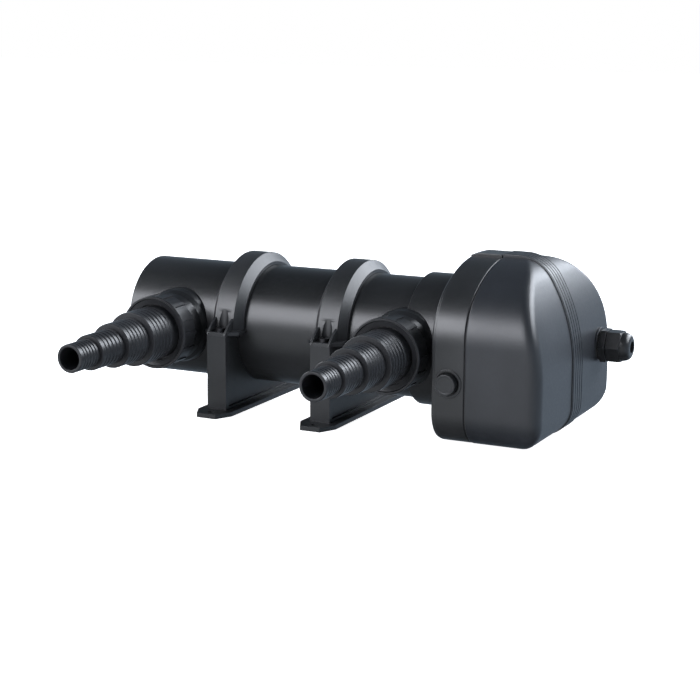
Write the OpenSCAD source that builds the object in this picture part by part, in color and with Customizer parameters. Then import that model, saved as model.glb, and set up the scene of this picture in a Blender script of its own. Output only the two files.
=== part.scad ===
// In-line UV clarifier: a flow chamber on two saddles, with hose tails on union nuts
// and an electrical head that turns and pulls out with the quartz sleeve and the lamp.
// The chamber lies along X, the hose tails point to -Y, and z = 0 is the mounting plane.

/* [Chamber] */
// Outside diameter of the chamber tube
tube_d = 90; // [88:0.5:91]
// Wall of the chamber tube
tube_wall = 3.5; // [3:0.5:4]
// Height of the chamber axis above the mounting plane
axis_h = 60; // [58:1:64]
// Distance from the saddles' middle to the closed end
closed_end = 134; // [130:1:140]
// Outside diameter of the collar at the head end
collar_d = 98.6; // [98.4:0.1:98.9]

/* [Ports] */
// Position of the inlet port along the chamber
inlet_x = -91; // [-94:1:-86]
// Position of the outlet port along the chamber
outlet_x = 100; // [96:1:100]
// Bore of the ports
port_bore = 32; // [28:1:32]
// Distance from the chamber axis to the tips of the hose tails
tail_reach = 186; // [184:1:190]
// Grip ribs on each union nut
nut_ribs = 14; // [8:1:18]

/* [Saddles] */
// Distance between the two saddles
saddle_pitch = 87; // [80:1:92]
// Width of a saddle's pedestal along the chamber
pedestal_w = 16; // [15:0.5:18]
// Half the pedestal's length across the chamber
pedestal_half = 65.8; // [64:0.2:68]
// Half the foot flange's length across the chamber
flange_half = 81.8; // [80:0.2:84]
// Spacing of the screw holes across the chamber
foot_hole_pitch = 149; // [146:1:151]
// Diameter of the screw holes in the feet
foot_hole_d = 4.5; // [4:0.5:5.5]

/* [Head] */
// Position of the head's back face along the chamber
head_x = 136.5; // [136:0.5:137]
// Depth of the head base
base_depth = 25.8; // [25.4:0.2:26.2]
// Depth of the head cover
cover_depth = 54.4; // [52:0.2:57]
// Half the width of the head cover
head_half_w = 79; // [77.5:0.5:80]
// Height of the head cover
head_h = 126.9; // [125:0.1:129]
// Wall of the head's shells
shell_wall = 3; // [2.5:0.5:3]
// Number of grooves in the raised band over the cover
band_grooves = 5; // [3:1:5]

/* [Lamp] */
// Outside diameter of the quartz sleeve
sleeve_d = 48; // [47:0.5:48]
// Diameter of each leg of the lamp
lamp_leg_d = 17.5; // [16:0.5:18]
// Distance between the legs' centres
lamp_leg_pitch = 20.5; // [20:0.5:21]

/* [Hidden] */
$fn = 96;

black = [0.075, 0.08, 0.085];
black_trim = [0.055, 0.06, 0.065];
rubber_black = [0.03, 0.03, 0.03];
steel = [0.72, 0.73, 0.75];
brass = [0.8, 0.65, 0.3];
quartz = [0.8, 0.9, 1, 0.35];
white_plastic = [0.9, 0.9, 0.88];

eps = 0.01;
tube_r = tube_d / 2;
bore_r = tube_r - tube_wall;
collar_r = collar_d / 2;
collar_start = 101;
collar_end = 148;

// Joint of head and collar, from the tube outwards
seal_land_r = 39.8;
seal_land_start = 117.5;
socket_start = 131;
socket_r = 46.3;
ring_r = 46;
ring_bore_r = 41.6;
key_r = 40.2;
key_w = 6;
lug_r = 48;
lug_slot_r = 48.3;
lug_angle = 14;
lug_places = [30, 150, 270];
head_turn = 15;
spigot_r = 41.3;
spigot_tip_r = 39.5;
spigot_bore_r = 33.5;
spigot_tip_x = 118.5;
oring_places = [122, 127.5];
pocket_r = 49.6;
pocket_wall_r = 52.6;
pocket_floor_x = 149.3;
bulkhead_x = 152;

// Ports and unions, as distances from the chamber axis
stub_r = 24;
stub_end = 68;
gasket_t = 1.5;
flange_d0 = stub_end + gasket_t;
flange_d1 = flange_d0 + 3.2;
nut_back = 60;
nut_front = 78;
nut_r = 26.6;
nut_bore_r = 24.3;
nut_mouth_r = 21.4;
nut_lip_r = 26;

// Hose tail: radius of each step's smooth land and where its front lies
step_r = [20.3, 16.4, 12.9, 10.4];
step_back = [79, 108, 135, 163];
step_front = [108, 135, 163, tail_reach];
land_len = 4.5;
teeth = 5;
tooth_h = 0.8;

// Saddle and strap
cradle_gap = 0.1;
split_z = axis_h - 0.4;
lug_top = split_z + 2.6;
lug_half_w = 14.4;
foot_t = 3.4;
foot_half_w = 14.4;
foot_chamfer = [6.4, 13];
strap_r = 54.7;
strap_rim_r = 47.9;
strap_half_w = 13.2;
strap_screw_y = 59;
pocket_cut_r = 4.8;
pocket_inner_y = 56.6;

// Head outline
seam_x = head_x + base_depth;
end_x = seam_x + cover_depth;
spring_z = 72;
shoulder_r = 44;
foot_corner_r = 24;
base_inset = 0.6;
seal_t = 0.8;
crown_r = 28;
crown_back = 41.8;
brow_z = 49;
toe_r = 22;
band_half = 10.4;
band_h = 1.6;
band_face_h = 0.8;
band_crown_shift = 1.6;
groove_depth = 0.9;
groove_w = 0.8;
screw_spots = [[60, 16], [-60, 16], [50, 98], [-50, 98]];

// Lock button
button_x = head_x + 13;
button_z = 45.6;
button_r = 7.5;
button_face = head_half_w + 5.2;
button_step = head_half_w - 6.5;
spring_r = 4.6;
spring_wire = 0.45;
spring_turns = 5;
spring_steps = 14;
spring_sides = 8;
spring_from = button_step - 9.5;
spring_to = button_step - 0.5;

// Cable gland
gland_y = 53;
gland_z = 56.3;
gland_af = 22;
gland_body_af = 23.4;
cable_r = 4.5;
seal_bore_r = 4.3;
thread_bore_r = 5;
gland_x = end_x + 0.3;
gland_pad_r = 13;

// Lamp and sleeve
sleeve_r = sleeve_d / 2;
sleeve_wall = 1.8;
sleeve_mouth = 146;
sleeve_dome_x = -100;
lamp_start = -96;
lamp_base_x = 116;
holder_x = 147.5;
plate_x = 167.2;
plate_t = 1.5;
board_x = 174.7;
board_t = 1.6;

// ---- Helpers ----

// Solid of revolution about the chamber axis: points are [radius, x]
module turned(points) {
    translate([0, 0, axis_h]) rotate([0, 90, 0]) rotate_extrude() polygon(points);
}

// Tube section about the chamber axis
module ring_x(x0, x1, r_out, r_in) {
    turned([[r_in, x0], [r_out, x0], [r_out, x1], [r_in, x1]]);
}

// Cylinder along +X at y, z
module rod_x(x0, x1, r, y, z, fn = 48) {
    translate([x0, y, z]) rotate([0, 90, 0]) cylinder(r = r, h = x1 - x0, $fn = fn);
}

// Solid of revolution about a port's axis: points are [radius, distance from chamber axis]
module port_turned(port_x, points) {
    translate([port_x, 0, axis_h]) rotate([90, 0, 0]) rotate_extrude() polygon(points);
}

// Box from its lowest to its highest corner
module block(low, high) {
    translate(low) cube(high - low);
}

// Extrudes a [y, z] outline along X
module sweep_x(x0, x1) {
    translate([x0, 0, 0]) rotate([90, 0, 90]) linear_extrude(x1 - x0) children();
}

// Extrudes an [x, z] outline along Y, about y = 0
module sweep_y(half) {
    rotate([90, 0, 0]) linear_extrude(2 * half, center = true) children();
}

// Copies a child on both sides of the chamber
module both_sides() {
    children();
    mirror([0, 1, 0]) children();
}

// ---- Water side ----

module lug_sector(r, angle_from, angle_to) {
    polygon([[0, 0], for (a = [angle_from, (angle_from + angle_to) / 2, angle_to])
        r * 1.2 * [cos(a), sin(a)]]);
}

// Arc-shaped lug or slot about the chamber axis, angles from +Y towards +Z
module arc_block(x0, x1, r_in, r_out, angle_from, angle_to) {
    translate([0, 0, axis_h]) sweep_x(x0, x1) intersection() {
        difference() {
            circle(r_out);
            circle(r_in);
        }
        lug_sector(r_out, angle_from, angle_to);
    }
}

module port_stub(port_x) {
    port_turned(port_x, [[0, 30], [28.5, 30], [28.5, 42], [27.6, 46], [25.6, 50], [24.6, 55],
        [stub_r, 57.5], [stub_r, stub_end], [0, stub_end]]);
}

module bayonet_slots() {
    half = lug_angle / 2 + 1;
    for (a = lug_places) {
        arc_block(134.7, 140.4, socket_r - 1, lug_slot_r, a - half, a + head_turn + half);
        arc_block(140.3, collar_end + 1, socket_r - 1, lug_slot_r,
            a + head_turn - half, a + head_turn + half);
    }
}

module water_housing() {
    color(black) difference() {
        union() {
            turned([[0, 4 - closed_end], [tube_r, 4 - closed_end], [tube_r, collar_start],
                [collar_r - 0.8, collar_start], [collar_r, collar_start + 0.8],
                [collar_r, collar_end - 0.6], [collar_r - 0.6, collar_end], [0, collar_end]]);
            port_stub(inlet_x);
            port_stub(outlet_x);
        }
        turned([[0, -closed_end - 1], [bore_r, -closed_end - 1], [bore_r, seal_land_start - 1.7],
            [seal_land_r, seal_land_start], [seal_land_r, socket_start],
            [socket_r, socket_start], [socket_r, collar_end + 1], [0, collar_end + 1]]);
        for (x = [inlet_x, outlet_x])
            translate([x, 0, axis_h]) rotate([90, 0, 0]) cylinder(d = port_bore, h = 80);
        bayonet_slots();
        block([142.6, -3.1, axis_h + 46.7], [collar_end + 1, 3.1, axis_h + 48.9]);
    }
}

module end_cap() {
    color(black) turned([[0, -closed_end], [tube_r - 0.7, -closed_end],
        [tube_r, 0.7 - closed_end], [tube_r, 4 - closed_end], [bore_r - 0.1, 4 - closed_end],
        [bore_r - 0.1, 14 - closed_end], [bore_r - 3, 14 - closed_end],
        [bore_r - 3, 4 - closed_end], [0, 4 - closed_end]]);
}

module sleeve_support() {
    hub_r = sleeve_r + 0.5;
    color(black_trim) {
        ring_x(-108, -101, hub_r + 2.4, hub_r);
        for (a = [0, 135, 225])
            translate([-108, 0, axis_h]) rotate([a, 0, 0])
                block([0.5, -1.6, hub_r + 1], [3.5, 1.6, bore_r - 1]);
        ring_x(-108, -104, bore_r - 0.1, bore_r - 2.6);
    }
}

module interlock_magnet() {
    color(steel) block([142.8, -3, axis_h + 46.9], [147.8, 3, axis_h + 48.7]);
}

// ---- Saddles and straps ----

module foot_outline() {
    cx = foot_chamfer[0];
    cy = foot_chamfer[1];
    polygon([for (s = [[1, 1], [-1, 1], [-1, -1], [1, -1]])
        each (s[0] * s[1] > 0
            ? [[s[0] * foot_half_w, s[1] * (flange_half - cy)],
               [s[0] * (foot_half_w - cx), s[1] * flange_half]]
            : [[s[0] * (foot_half_w - cx), s[1] * flange_half],
               [s[0] * foot_half_w, s[1] * (flange_half - cy)]])]);
}

module saddle(x) {
    half = pedestal_w / 2;
    color(black) translate([x, 0, 0]) difference() {
        union() {
            linear_extrude(foot_t) foot_outline();
            block([-half, -pedestal_half, 1], [half, pedestal_half, split_z]);
        }
        translate([-30, 0, axis_h]) rotate([0, 90, 0]) cylinder(r = tube_r + cradle_gap, h = 60);
        for (sx = [-1, 1])
            translate([sx * half, 0, 0])
                block([-2, 4 - pedestal_half, foot_t + 2], [2, pedestal_half - 4, split_z - 4]);
        both_sides() {
            translate([0, foot_hole_pitch / 2, -1]) cylinder(d = foot_hole_d, h = foot_t + 2);
            translate([0, strap_screw_y, 36]) cylinder(r = 2.1, h = 40);
        }
    }
}

module strap_band() {
    intersection() {
        turned([[tube_r + 0.15, -strap_half_w], [strap_rim_r, -strap_half_w],
            [strap_r, -pedestal_w / 2], [strap_r, pedestal_w / 2],
            [strap_rim_r, strap_half_w], [tube_r + 0.15, strap_half_w]]);
        block([-20, -70, split_z], [20, 70, 130]);
    }
}

// Plate under the band's end: as wide as the pedestal in front, wider beside the band
module lug_outline() {
    half = pedestal_w / 2;
    polygon([[-half, pedestal_half], [-half, pedestal_half - 3], [-lug_half_w, pedestal_half - 9],
        [-lug_half_w, 46], [lug_half_w, 46], [lug_half_w, pedestal_half - 9],
        [half, pedestal_half - 3], [half, pedestal_half]]);
}

// Thin rib beside a screw pocket, bulging up from the lug to the band
module gusset(x) {
    translate([x, 0, 0]) sweep_x(-0.8, 0.8) intersection() {
        translate([41.9, lug_top - 18.5]) circle(30);
        translate([48, split_z + 1]) square([20, 30]);
    }
}

// Plan of the open pocket over a strap screw: a slot that runs in towards the chamber
pocket_outline = [
    for (a = [0:15:180]) [0, strap_screw_y] + pocket_cut_r * [cos(a), sin(a)],
    for (a = [180:15:360]) [0, pocket_inner_y] + pocket_cut_r * [cos(a), sin(a)]
];

module strap(x) {
    half = pedestal_w / 2;
    color(black) translate([x, 0, 0]) difference() {
        union() {
            difference() {
                union() {
                    strap_band();
                    both_sides() translate([0, 0, split_z])
                        linear_extrude(lug_top - split_z) lug_outline();
                }
                both_sides() translate([0, 0, lug_top])
                    linear_extrude(60) polygon(pocket_outline);
            }
            both_sides() for (s = [-1, 1]) gusset(s * (half - 0.8));
        }
        translate([-30, 0, axis_h]) rotate([0, 90, 0]) cylinder(r = tube_r + 0.15, h = 60);
        both_sides() translate([0, strap_screw_y, 0]) cylinder(r = 2.3, h = 100);
    }
}

module strap_screws() {
    color(steel) for (x = [-1, 1] * saddle_pitch / 2, y = [-1, 1] * strap_screw_y)
        translate([x, y, 0]) difference() {
            union() {
                translate([0, 0, 40]) cylinder(r = 2, h = lug_top - 40 + eps);
                translate([0, 0, lug_top]) cylinder(r = 3.9, h = 2.6);
            }
            for (a = [0, 90])
                translate([0, 0, lug_top + 1.2]) rotate([0, 0, a])
                    block([-2.3, -0.5, 0], [2.3, 0.5, 3]);
        }
}

// ---- Hose tails and unions ----

// Barbs of one step: upright towards the nut, nearly flat on top, bevelled towards the tip
function barbs(d0, d1, r) = let (p = (d1 - d0) / teeth)
    [for (i = [0:teeth - 1]) each [[r - tooth_h, d0 + i * p],
        [r, d0 + (i + 0.25) * p], [r - 0.1, d0 + (i + 0.78) * p]]];

function step_profile(i) = let (r = step_r[i], land = step_front[i] - land_len)
    concat(barbs(step_back[i] + 1, land, r),
        [[r - tooth_h, land], [r, land + 0.3], [r, step_front[i] - 1],
         [r - 1, step_front[i]]]);

module tail(port_x) {
    outside = [for (i = [0:3]) each step_profile(i)];
    inside = [[8, tail_reach], [8, 157], [10.2, 150], [10.2, 128], [13.4, 120], [13.4, 101],
        [16, 93], [16, flange_d0]];
    color(black) port_turned(port_x, concat([[23.6, flange_d0], [23.6, flange_d1],
        [20, flange_d1]], outside, inside));
}

module gasket(port_x) {
    color(rubber_black) port_turned(port_x, [[17, stub_end], [23.4, stub_end],
        [23.4, flange_d0], [17, flange_d0]]);
}

module union_nut(port_x) {
    rib_r = 27.4;
    color(black) difference() {
        union() {
            port_turned(port_x, [[0, nut_back], [nut_r - 1, nut_back], [nut_r, nut_back + 1],
                [nut_r, nut_front - 2.6], [27.6, nut_front - 2.2], [27.6, nut_front - 0.6],
                [27, nut_front], [0, nut_front]]);
            translate([port_x, 0, axis_h]) rotate([90, 0, 0])
                for (i = [0:nut_ribs - 1]) rotate([0, 0, i * 360 / nut_ribs])
                    block([nut_r - 1, -1.5, nut_back + 0.8], [rib_r, 1.5, nut_front - 2]);
        }
        port_turned(port_x, [[0, nut_back - 1], [nut_bore_r, nut_back - 1],
            [nut_bore_r, flange_d1 + 0.3], [nut_mouth_r, flange_d1 + 0.3],
            [nut_mouth_r, nut_front - 1.9], [nut_lip_r - 0.7, nut_front - 1],
            [nut_lip_r, nut_front + 0.2], [0, nut_front + 0.2]]);
    }
}

module inlet_tail() tail(inlet_x);
module outlet_tail() tail(outlet_x);
module inlet_gasket() gasket(inlet_x);
module outlet_gasket() gasket(outlet_x);
module inlet_nut() union_nut(inlet_x);
module outlet_nut() union_nut(outlet_x);
module rear_saddle() saddle(-saddle_pitch / 2);
module front_saddle() saddle(saddle_pitch / 2);
module rear_strap() strap(-saddle_pitch / 2);
module front_strap() strap(saddle_pitch / 2);

// ---- Head ----

module bayonet_ring() {
    color(black_trim) {
        ring_x(132, 148.5, ring_r, ring_bore_r);
        for (a = lug_places) {
            arc_block(135, 140, ring_r - 1, lug_r, a - lug_angle / 2, a + lug_angle / 2);
            translate([0, 0, axis_h]) rotate([a, 0, 0])
                block([132, key_r, -key_w / 2], [148.5, ring_bore_r + 1, key_w / 2]);
        }
    }
}

// Outline of the head in [y, z], moved inwards by e: flat foot, upright sides, arched top
module head_outline(w, top, e) {
    rise = top - spring_z;
    side = w - shoulder_r;
    arch_r = (rise * rise + side * side - shoulder_r * shoulder_r) / (2 * (rise - shoulder_r));
    hub = [0, top - arch_r];
    ray = [side, spring_z] - hub;
    intersection() {
        translate(hub) circle(arch_r - e, $fn = 200);
        polygon([hub, hub + 4 * ray, hub + [-4 * ray[0], 4 * ray[1]]]);
    }
    for (s = [-1, 1]) {
        translate([s * side, spring_z]) circle(shoulder_r - e);
        translate([s * (w - foot_corner_r), foot_corner_r]) circle(foot_corner_r - e);
    }
    translate([e - w, foot_corner_r]) square([2 * (w - e), spring_z - foot_corner_r]);
    translate([foot_corner_r - w, e]) square([2 * (w - foot_corner_r), spring_z - e]);
}

// Side view of the cover in [x, z], moved inwards by e: arched brow, upright end, round toe
module cover_side(e) {
    crown = [end_x - crown_back, head_h - crown_r];
    rise = head_h - brow_z;
    brow_r = (crown_back * crown_back + rise * rise - 2 * rise * crown_r)
        / (2 * (crown_back - crown_r));
    hub = [end_x - brow_r, brow_z];
    ray = crown - hub;
    translate(crown) circle(crown_r - e);
    intersection() {
        translate(hub) circle(brow_r - e, $fn = 240);
        polygon([hub, hub + [2 * brow_r, 0], hub + 3 * ray]);
    }
    translate([seam_x - 5, e]) square([crown[0] - seam_x + 5, head_h - 2 * e]);
    translate([seam_x, toe_r]) square([end_x - e - seam_x, brow_z - toe_r]);
    translate([seam_x, e]) square([end_x - toe_r - seam_x, toe_r - e + 1]);
    translate([end_x - toe_r, toe_r]) circle(toe_r - e);
}

module cover_form(e, x0) {
    intersection() {
        sweep_x(x0, end_x + 1) head_outline(head_half_w, head_h, e);
        sweep_y(90) cover_side(e);
    }
}

// Side view of the band moved inwards by e: high on top, low down the end
module band_side(e) {
    crown_x = end_x - crown_back - band_crown_shift;
    cover_side(e - band_face_h);
    translate([crown_x, head_h - crown_r]) circle(crown_r + band_h - e);
    translate([seam_x - 5, 60]) square([crown_x - seam_x + 5, head_h + band_h - e - 60]);
}

module cover_band() {
    pitch = 2 * (band_half - 1.4) / (band_grooves - 1);
    intersection() {
        difference() {
            sweep_y(band_half) band_side(0);
            for (i = [0:band_grooves - 1])
                difference() {
                    translate([0, 1.4 - band_half + i * pitch, 0])
                        block([seam_x - 9, -groove_w / 2, -9], [end_x + 9, groove_w / 2, 140]);
                    sweep_y(20) band_side(groove_depth);
                }
        }
        block([seam_x, -20, 0], [end_x + 5, 20, 140]);
    }
}

module screw_bosses(x0, lower_end, upper_end, r) {
    for (p = screw_spots) rod_x(x0, p[1] < spring_z ? lower_end : upper_end, r, p[0], p[1]);
}

module head_cover() {
    color(black) difference() {
        union() {
            difference() {
                union() {
                    cover_form(0, seam_x);
                    cover_band();
                }
                cover_form(shell_wall, seam_x - 1);
            }
            screw_bosses(seam_x, end_x - 4.6, end_x - 13.6, 5);
            rod_x(gland_x - 6, gland_x, gland_pad_r, gland_y, gland_z);
        }
        screw_bosses(seam_x - 1, seam_x + 17, seam_x + 17, 1.8);
        rod_x(gland_x - 20, gland_x + 9, 8.2, gland_y, gland_z);
    }
}

module base_outline(e) head_outline(head_half_w - base_inset, head_h - base_inset, e);

// The raised band's start on the base, ramping up from the back edge
module base_band() {
    top = head_h - base_inset;
    sweep_y(band_half) polygon([[head_x, 110], [head_x, top], [head_x + 7, top + band_h],
        [seam_x - seal_t, top + band_h], [seam_x - seal_t, 110]]);
}

module button_ring() {
    translate([button_x, 0, button_z]) rotate([90, 0, 0]) {
        difference() {
            translate([0, 0, head_half_w - 3]) cylinder(r = 10.3, h = 3.2);
            translate([0, 0, head_half_w - 4]) cylinder(r = 8.4, h = 9);
        }
        translate([0, 0, 50]) cylinder(r = 6, h = button_step - 60);
    }
}

module spigot() {
    groove_r = spigot_tip_r - 2.8;
    turned([[spigot_bore_r, spigot_tip_x], [spigot_tip_r - 0.8, spigot_tip_x],
        [spigot_tip_r, spigot_tip_x + 0.8],
        for (x = oring_places) each [[spigot_tip_r, x - 1.7], [groove_r, x - 1.7],
            [groove_r, x + 1.7], [spigot_tip_r, x + 1.7]],
        [spigot_tip_r, socket_start + 0.3], [spigot_r, socket_start + 0.3],
        [spigot_r, pocket_floor_x], [pocket_r, pocket_floor_x], [pocket_r, head_x + 1],
        [pocket_wall_r, head_x + 1], [pocket_wall_r, bulkhead_x], [27.4, bulkhead_x],
        [27.4, 143], [sleeve_r + 0.3, 143], [sleeve_r + 0.3, 138], [spigot_bore_r, 138]]);
}

module head_base() {
    pillars = [for (y = [-42, 42], z = [-25, 25]) [y, axis_h + z]];
    color(black) difference() {
        union() {
            difference() {
                union() {
                    sweep_x(head_x, seam_x - seal_t) base_outline(0);
                    base_band();
                }
                sweep_x(head_x + shell_wall, seam_x) base_outline(shell_wall);
                rod_x(head_x - 1, head_x + 9, pocket_r, 0, axis_h, 96);
                translate([button_x, 0, button_z]) rotate([90, 0, 0])
                    translate([0, 0, 60]) cylinder(r = button_r + 0.2, h = 30);
            }
            spigot();
            intersection() {
                button_ring();
                difference() {
                    block([head_x, -90, 0], [seam_x - seal_t, 0, 100]);
                    rod_x(head_x - 1, seam_x, pocket_r + 1, 0, axis_h, 96);
                }
            }
            screw_bosses(head_x + 1, seam_x - seal_t, seam_x - seal_t, 5);
            for (p = pillars) rod_x(bulkhead_x - 1, plate_x, 4, p[0], p[1]);
        }
        for (a = lug_places)
            translate([0, 0, axis_h]) rotate([a, 0, 0])
                block([socket_start, key_r - 0.3, -key_w / 2 - 0.3],
                    [pocket_floor_x, spigot_r + 1, key_w / 2 + 0.3]);
        screw_bosses(head_x - 1, seam_x, seam_x, 2.2);
        screw_bosses(head_x - 1, head_x + 3, head_x + 3, 4);
        for (p = pillars) rod_x(bulkhead_x + 4, plate_x + 1, 1.3, p[0], p[1]);
        translate([button_x, 0, button_z]) rotate([90, 0, 0])
            translate([0, 0, 52]) cylinder(r = 3.3, h = button_step - 58);
    }
}

module cover_seal() {
    color(rubber_black) sweep_x(seam_x - seal_t, seam_x) difference() {
        base_outline(0.9);
        base_outline(2.6);
    }
}

module cover_screws() {
    color(steel) for (p = screw_spots) difference() {
        union() {
            rod_x(head_x + 0.4, head_x + 3, 3.6, p[0], p[1]);
            rod_x(head_x + 2.9, seam_x + 14, 1.75, p[0], p[1]);
        }
        translate([head_x, p[0], p[1]]) for (a = [0, 90]) rotate([a, 0, 0])
            block([-1, -2.1, -0.5], [1.6, 2.1, 0.5]);
    }
}

module lock_button() {
    color(black_trim) translate([button_x, 0, button_z]) rotate([90, 0, 0])
        rotate_extrude() polygon([[0, button_step - 13], [3, button_step - 13],
            [3, button_step], [9, button_step], [9, button_step + 2.6],
            [button_r, button_step + 2.6], [button_r, button_face - 0.7],
            [button_r - 0.7, button_face], [0, button_face]]);
}

// Point j of ring i along the coil spring round the button's stem
function spring_point(i, j) = let (
    a = 360 * i / spring_steps,
    d = spring_from + (spring_to - spring_from) * i / (spring_turns * spring_steps),
    b = 360 * j / spring_sides,
    r = spring_r + spring_wire * cos(b))
    [r * cos(a), r * sin(a), d + spring_wire * sin(b)];

module button_spring() {
    rings = spring_turns * spring_steps;
    n = spring_sides;
    points = [for (i = [0:rings], j = [0:n - 1]) spring_point(i, j)];
    walls = [for (i = [0:rings - 1], j = [0:n - 1])
        [i * n + j, i * n + (j + 1) % n, (i + 1) * n + (j + 1) % n, (i + 1) * n + j]];
    ends = [[for (j = [n - 1:-1:0]) j], [for (j = [0:n - 1]) rings * n + j]];
    color(steel) translate([button_x, 0, button_z]) rotate([90, 0, 0])
        polyhedron(points, concat(walls, ends));
}

// ---- Cable gland ----

// Solid of revolution about the gland's axis: points are [radius, x]
module gland_turned(points) {
    translate([0, gland_y, gland_z]) rotate([0, 90, 0]) rotate_extrude() polygon(points);
}

module gland_hex(x0, x1, across) {
    translate([x0, gland_y, gland_z]) rotate([0, 90, 0]) rotate([0, 0, 30])
        cylinder(d = across / cos(30), h = x1 - x0, $fn = 6);
}

module gland_body() {
    color(black) difference() {
        union() {
            gland_turned([[0, gland_x - 12.5], [7.8, gland_x - 12.5], [7.8, gland_x + 2],
                [9, gland_x + 2], [9, gland_x + 14], [0, gland_x + 14]]);
            gland_hex(gland_x + 1.5, gland_x + 6.2, gland_body_af);
        }
        gland_turned([[0, gland_x - 13], [thread_bore_r, gland_x - 13],
            [thread_bore_r, gland_x + 7], [7.2, gland_x + 9], [7.2, gland_x + 15],
            [0, gland_x + 15]]);
    }
}

module gland_nut() {
    color(black) difference() {
        union() {
            intersection() {
                gland_hex(gland_x + 6.6, gland_x + 17.2, gland_af);
                gland_turned([[0, gland_x + 6], [13, gland_x + 6], [13, gland_x + 15.8],
                    [11.4, gland_x + 17.6], [0, gland_x + 17.6]]);
            }
            gland_turned([[0, gland_x + 12], [10.7, gland_x + 12], [10.7, gland_x + 18.2],
                [10.1, gland_x + 20.9], [8.6, gland_x + 22.9], [6.6, gland_x + 23.8],
                [0, gland_x + 23.8]]);
        }
        gland_turned([[0, gland_x + 6], [9.3, gland_x + 6], [9.3, gland_x + 14.6],
            [7.4, gland_x + 19.4], [cable_r, gland_x + 19.4], [cable_r, gland_x + 24],
            [0, gland_x + 24]]);
    }
}

module gland_seal() {
    color(rubber_black) gland_turned([[seal_bore_r, gland_x + 9.3], [6.9, gland_x + 9.3],
        [6.9, gland_x + 19.1], [seal_bore_r, gland_x + 19.1]]);
}

module gland_washer() {
    color(rubber_black) gland_turned([[7.9, gland_x], [11.4, gland_x],
        [11.4, gland_x + 1.5], [7.9, gland_x + 1.5]]);
}

module gland_locknut() {
    color(black_trim) difference() {
        gland_hex(gland_x - 11.1, gland_x - 6.1, 22);
        rod_x(gland_x - 13, gland_x, 7.9, gland_y, gland_z);
    }
}

// ---- Sleeve and lamp ----

module torus_x(x, major, minor) {
    translate([x, 0, axis_h]) rotate([0, 90, 0]) rotate_extrude()
        translate([major, 0]) circle(minor, $fn = 24);
}

module spigot_orings() {
    color(rubber_black) for (x = oring_places) torus_x(x, seal_land_r - 1.55, 1.5);
}

module quartz_sleeve() {
    color(quartz) difference() {
        union() {
            rod_x(sleeve_dome_x, sleeve_mouth, sleeve_r, 0, axis_h, 96);
            translate([sleeve_dome_x, 0, axis_h]) rotate([0, 90, 0]) sphere(sleeve_r);
        }
        rod_x(sleeve_dome_x, sleeve_mouth + 1, sleeve_r - sleeve_wall, 0, axis_h, 96);
        translate([sleeve_dome_x, 0, axis_h]) rotate([0, 90, 0]) sphere(sleeve_r - sleeve_wall);
    }
}

module sleeve_oring() {
    color(rubber_black) torus_x(144.7, sleeve_r + 1.7, 1.65);
}

module sleeve_clamp() {
    color(black_trim) difference() {
        turned([[sleeve_r + 0.3, 146.6], [27.2, 146.6], [27.2, bulkhead_x + 0.2],
            [32.5, bulkhead_x + 0.2], [32.5, bulkhead_x + 4], [sleeve_r + 0.3, bulkhead_x + 4]]);
        for (a = [0:45:315]) translate([0, 0, axis_h]) rotate([a, 0, 0])
            block([bulkhead_x + 1.4, 31, -2], [bulkhead_x + 5, 34, 2]);
    }
}

module uv_lamp() {
    leg_r = lamp_leg_d / 2;
    color([1, 1, 1, 0.6]) {
        for (s = [-1, 1]) {
            y = s * lamp_leg_pitch / 2;
            rod_x(lamp_start + leg_r, lamp_base_x, leg_r, y, axis_h);
            translate([lamp_start + leg_r, y, axis_h]) rotate([0, 90, 0])
                sphere(leg_r, $fn = 48);
        }
        translate([lamp_start + 14, -6, axis_h]) rotate([-90, 0, 0])
            cylinder(r = 4, h = 12, $fn = 32);
    }
}

module lamp_base() {
    color(white_plastic) difference() {
        block([lamp_base_x, -18.5, axis_h - 9.5], [lamp_base_x + 30, 18.5, axis_h + 9.5]);
        block([lamp_base_x + 20, -25, axis_h - 20], [lamp_base_x + 24, -16.5, axis_h + 20]);
        block([lamp_base_x + 20, 16.5, axis_h - 20], [lamp_base_x + 24, 25, axis_h + 20]);
    }
}

module lamp_pins() {
    color(brass) for (y = [-13, -5, 5, 13])
        rod_x(lamp_base_x + 30, holder_x + 6, 1.1, y, axis_h, 24);
}

module lamp_holder() {
    color(white_plastic) difference() {
        union() {
            block([holder_x, -20, axis_h - 11], [plate_x, 20, axis_h + 11]);
            block([plate_x - 4, -27, axis_h - 6], [plate_x, 27, axis_h + 6]);
        }
        for (y = [-13, -5, 5, 13]) rod_x(holder_x - 1, holder_x + 8, 1.3, y, axis_h, 24);
        for (y = [-13, -5, 5, 13]) rod_x(holder_x + 12, plate_x + 1, 1.2, y, axis_h, 24);
    }
}

module lamp_leads() {
    color([0.85, 0.85, 0.8]) for (y = [-13, -5, 5, 13])
        rod_x(holder_x + 12.5, board_x, 0.9, y, axis_h, 24);
}

// ---- Ballast ----

module chassis_plate() {
    color(steel) difference() {
        union() {
            block([plate_x, -56, axis_h - 32], [plate_x + plate_t, 56, axis_h + 32]);
            for (y = [-46, 46], z = [-24, 24])
                rod_x(plate_x, board_x, 3, y * 1.1, axis_h + z * 1.05);
        }
        block([plate_x - 1, -16, axis_h - 4], [plate_x + 3, 16, axis_h + 4]);
        for (y = [-42, 42], z = [-25, 25]) rod_x(plate_x - 1, plate_x + 3, 1.7, y, axis_h + z);
    }
}

module chassis_screws() {
    color(steel) for (y = [-42, 42], z = [-25, 25]) {
        rod_x(plate_x - 7, plate_x + plate_t + eps, 1.2, y, axis_h + z);
        rod_x(plate_x + plate_t, plate_x + plate_t + 1.8, 2.8, y, axis_h + z);
    }
}

module ballast_board() {
    color([0.12, 0.4, 0.2]) block([board_x, -54, axis_h - 29], [board_x + board_t, 54, axis_h + 29]);
}

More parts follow.
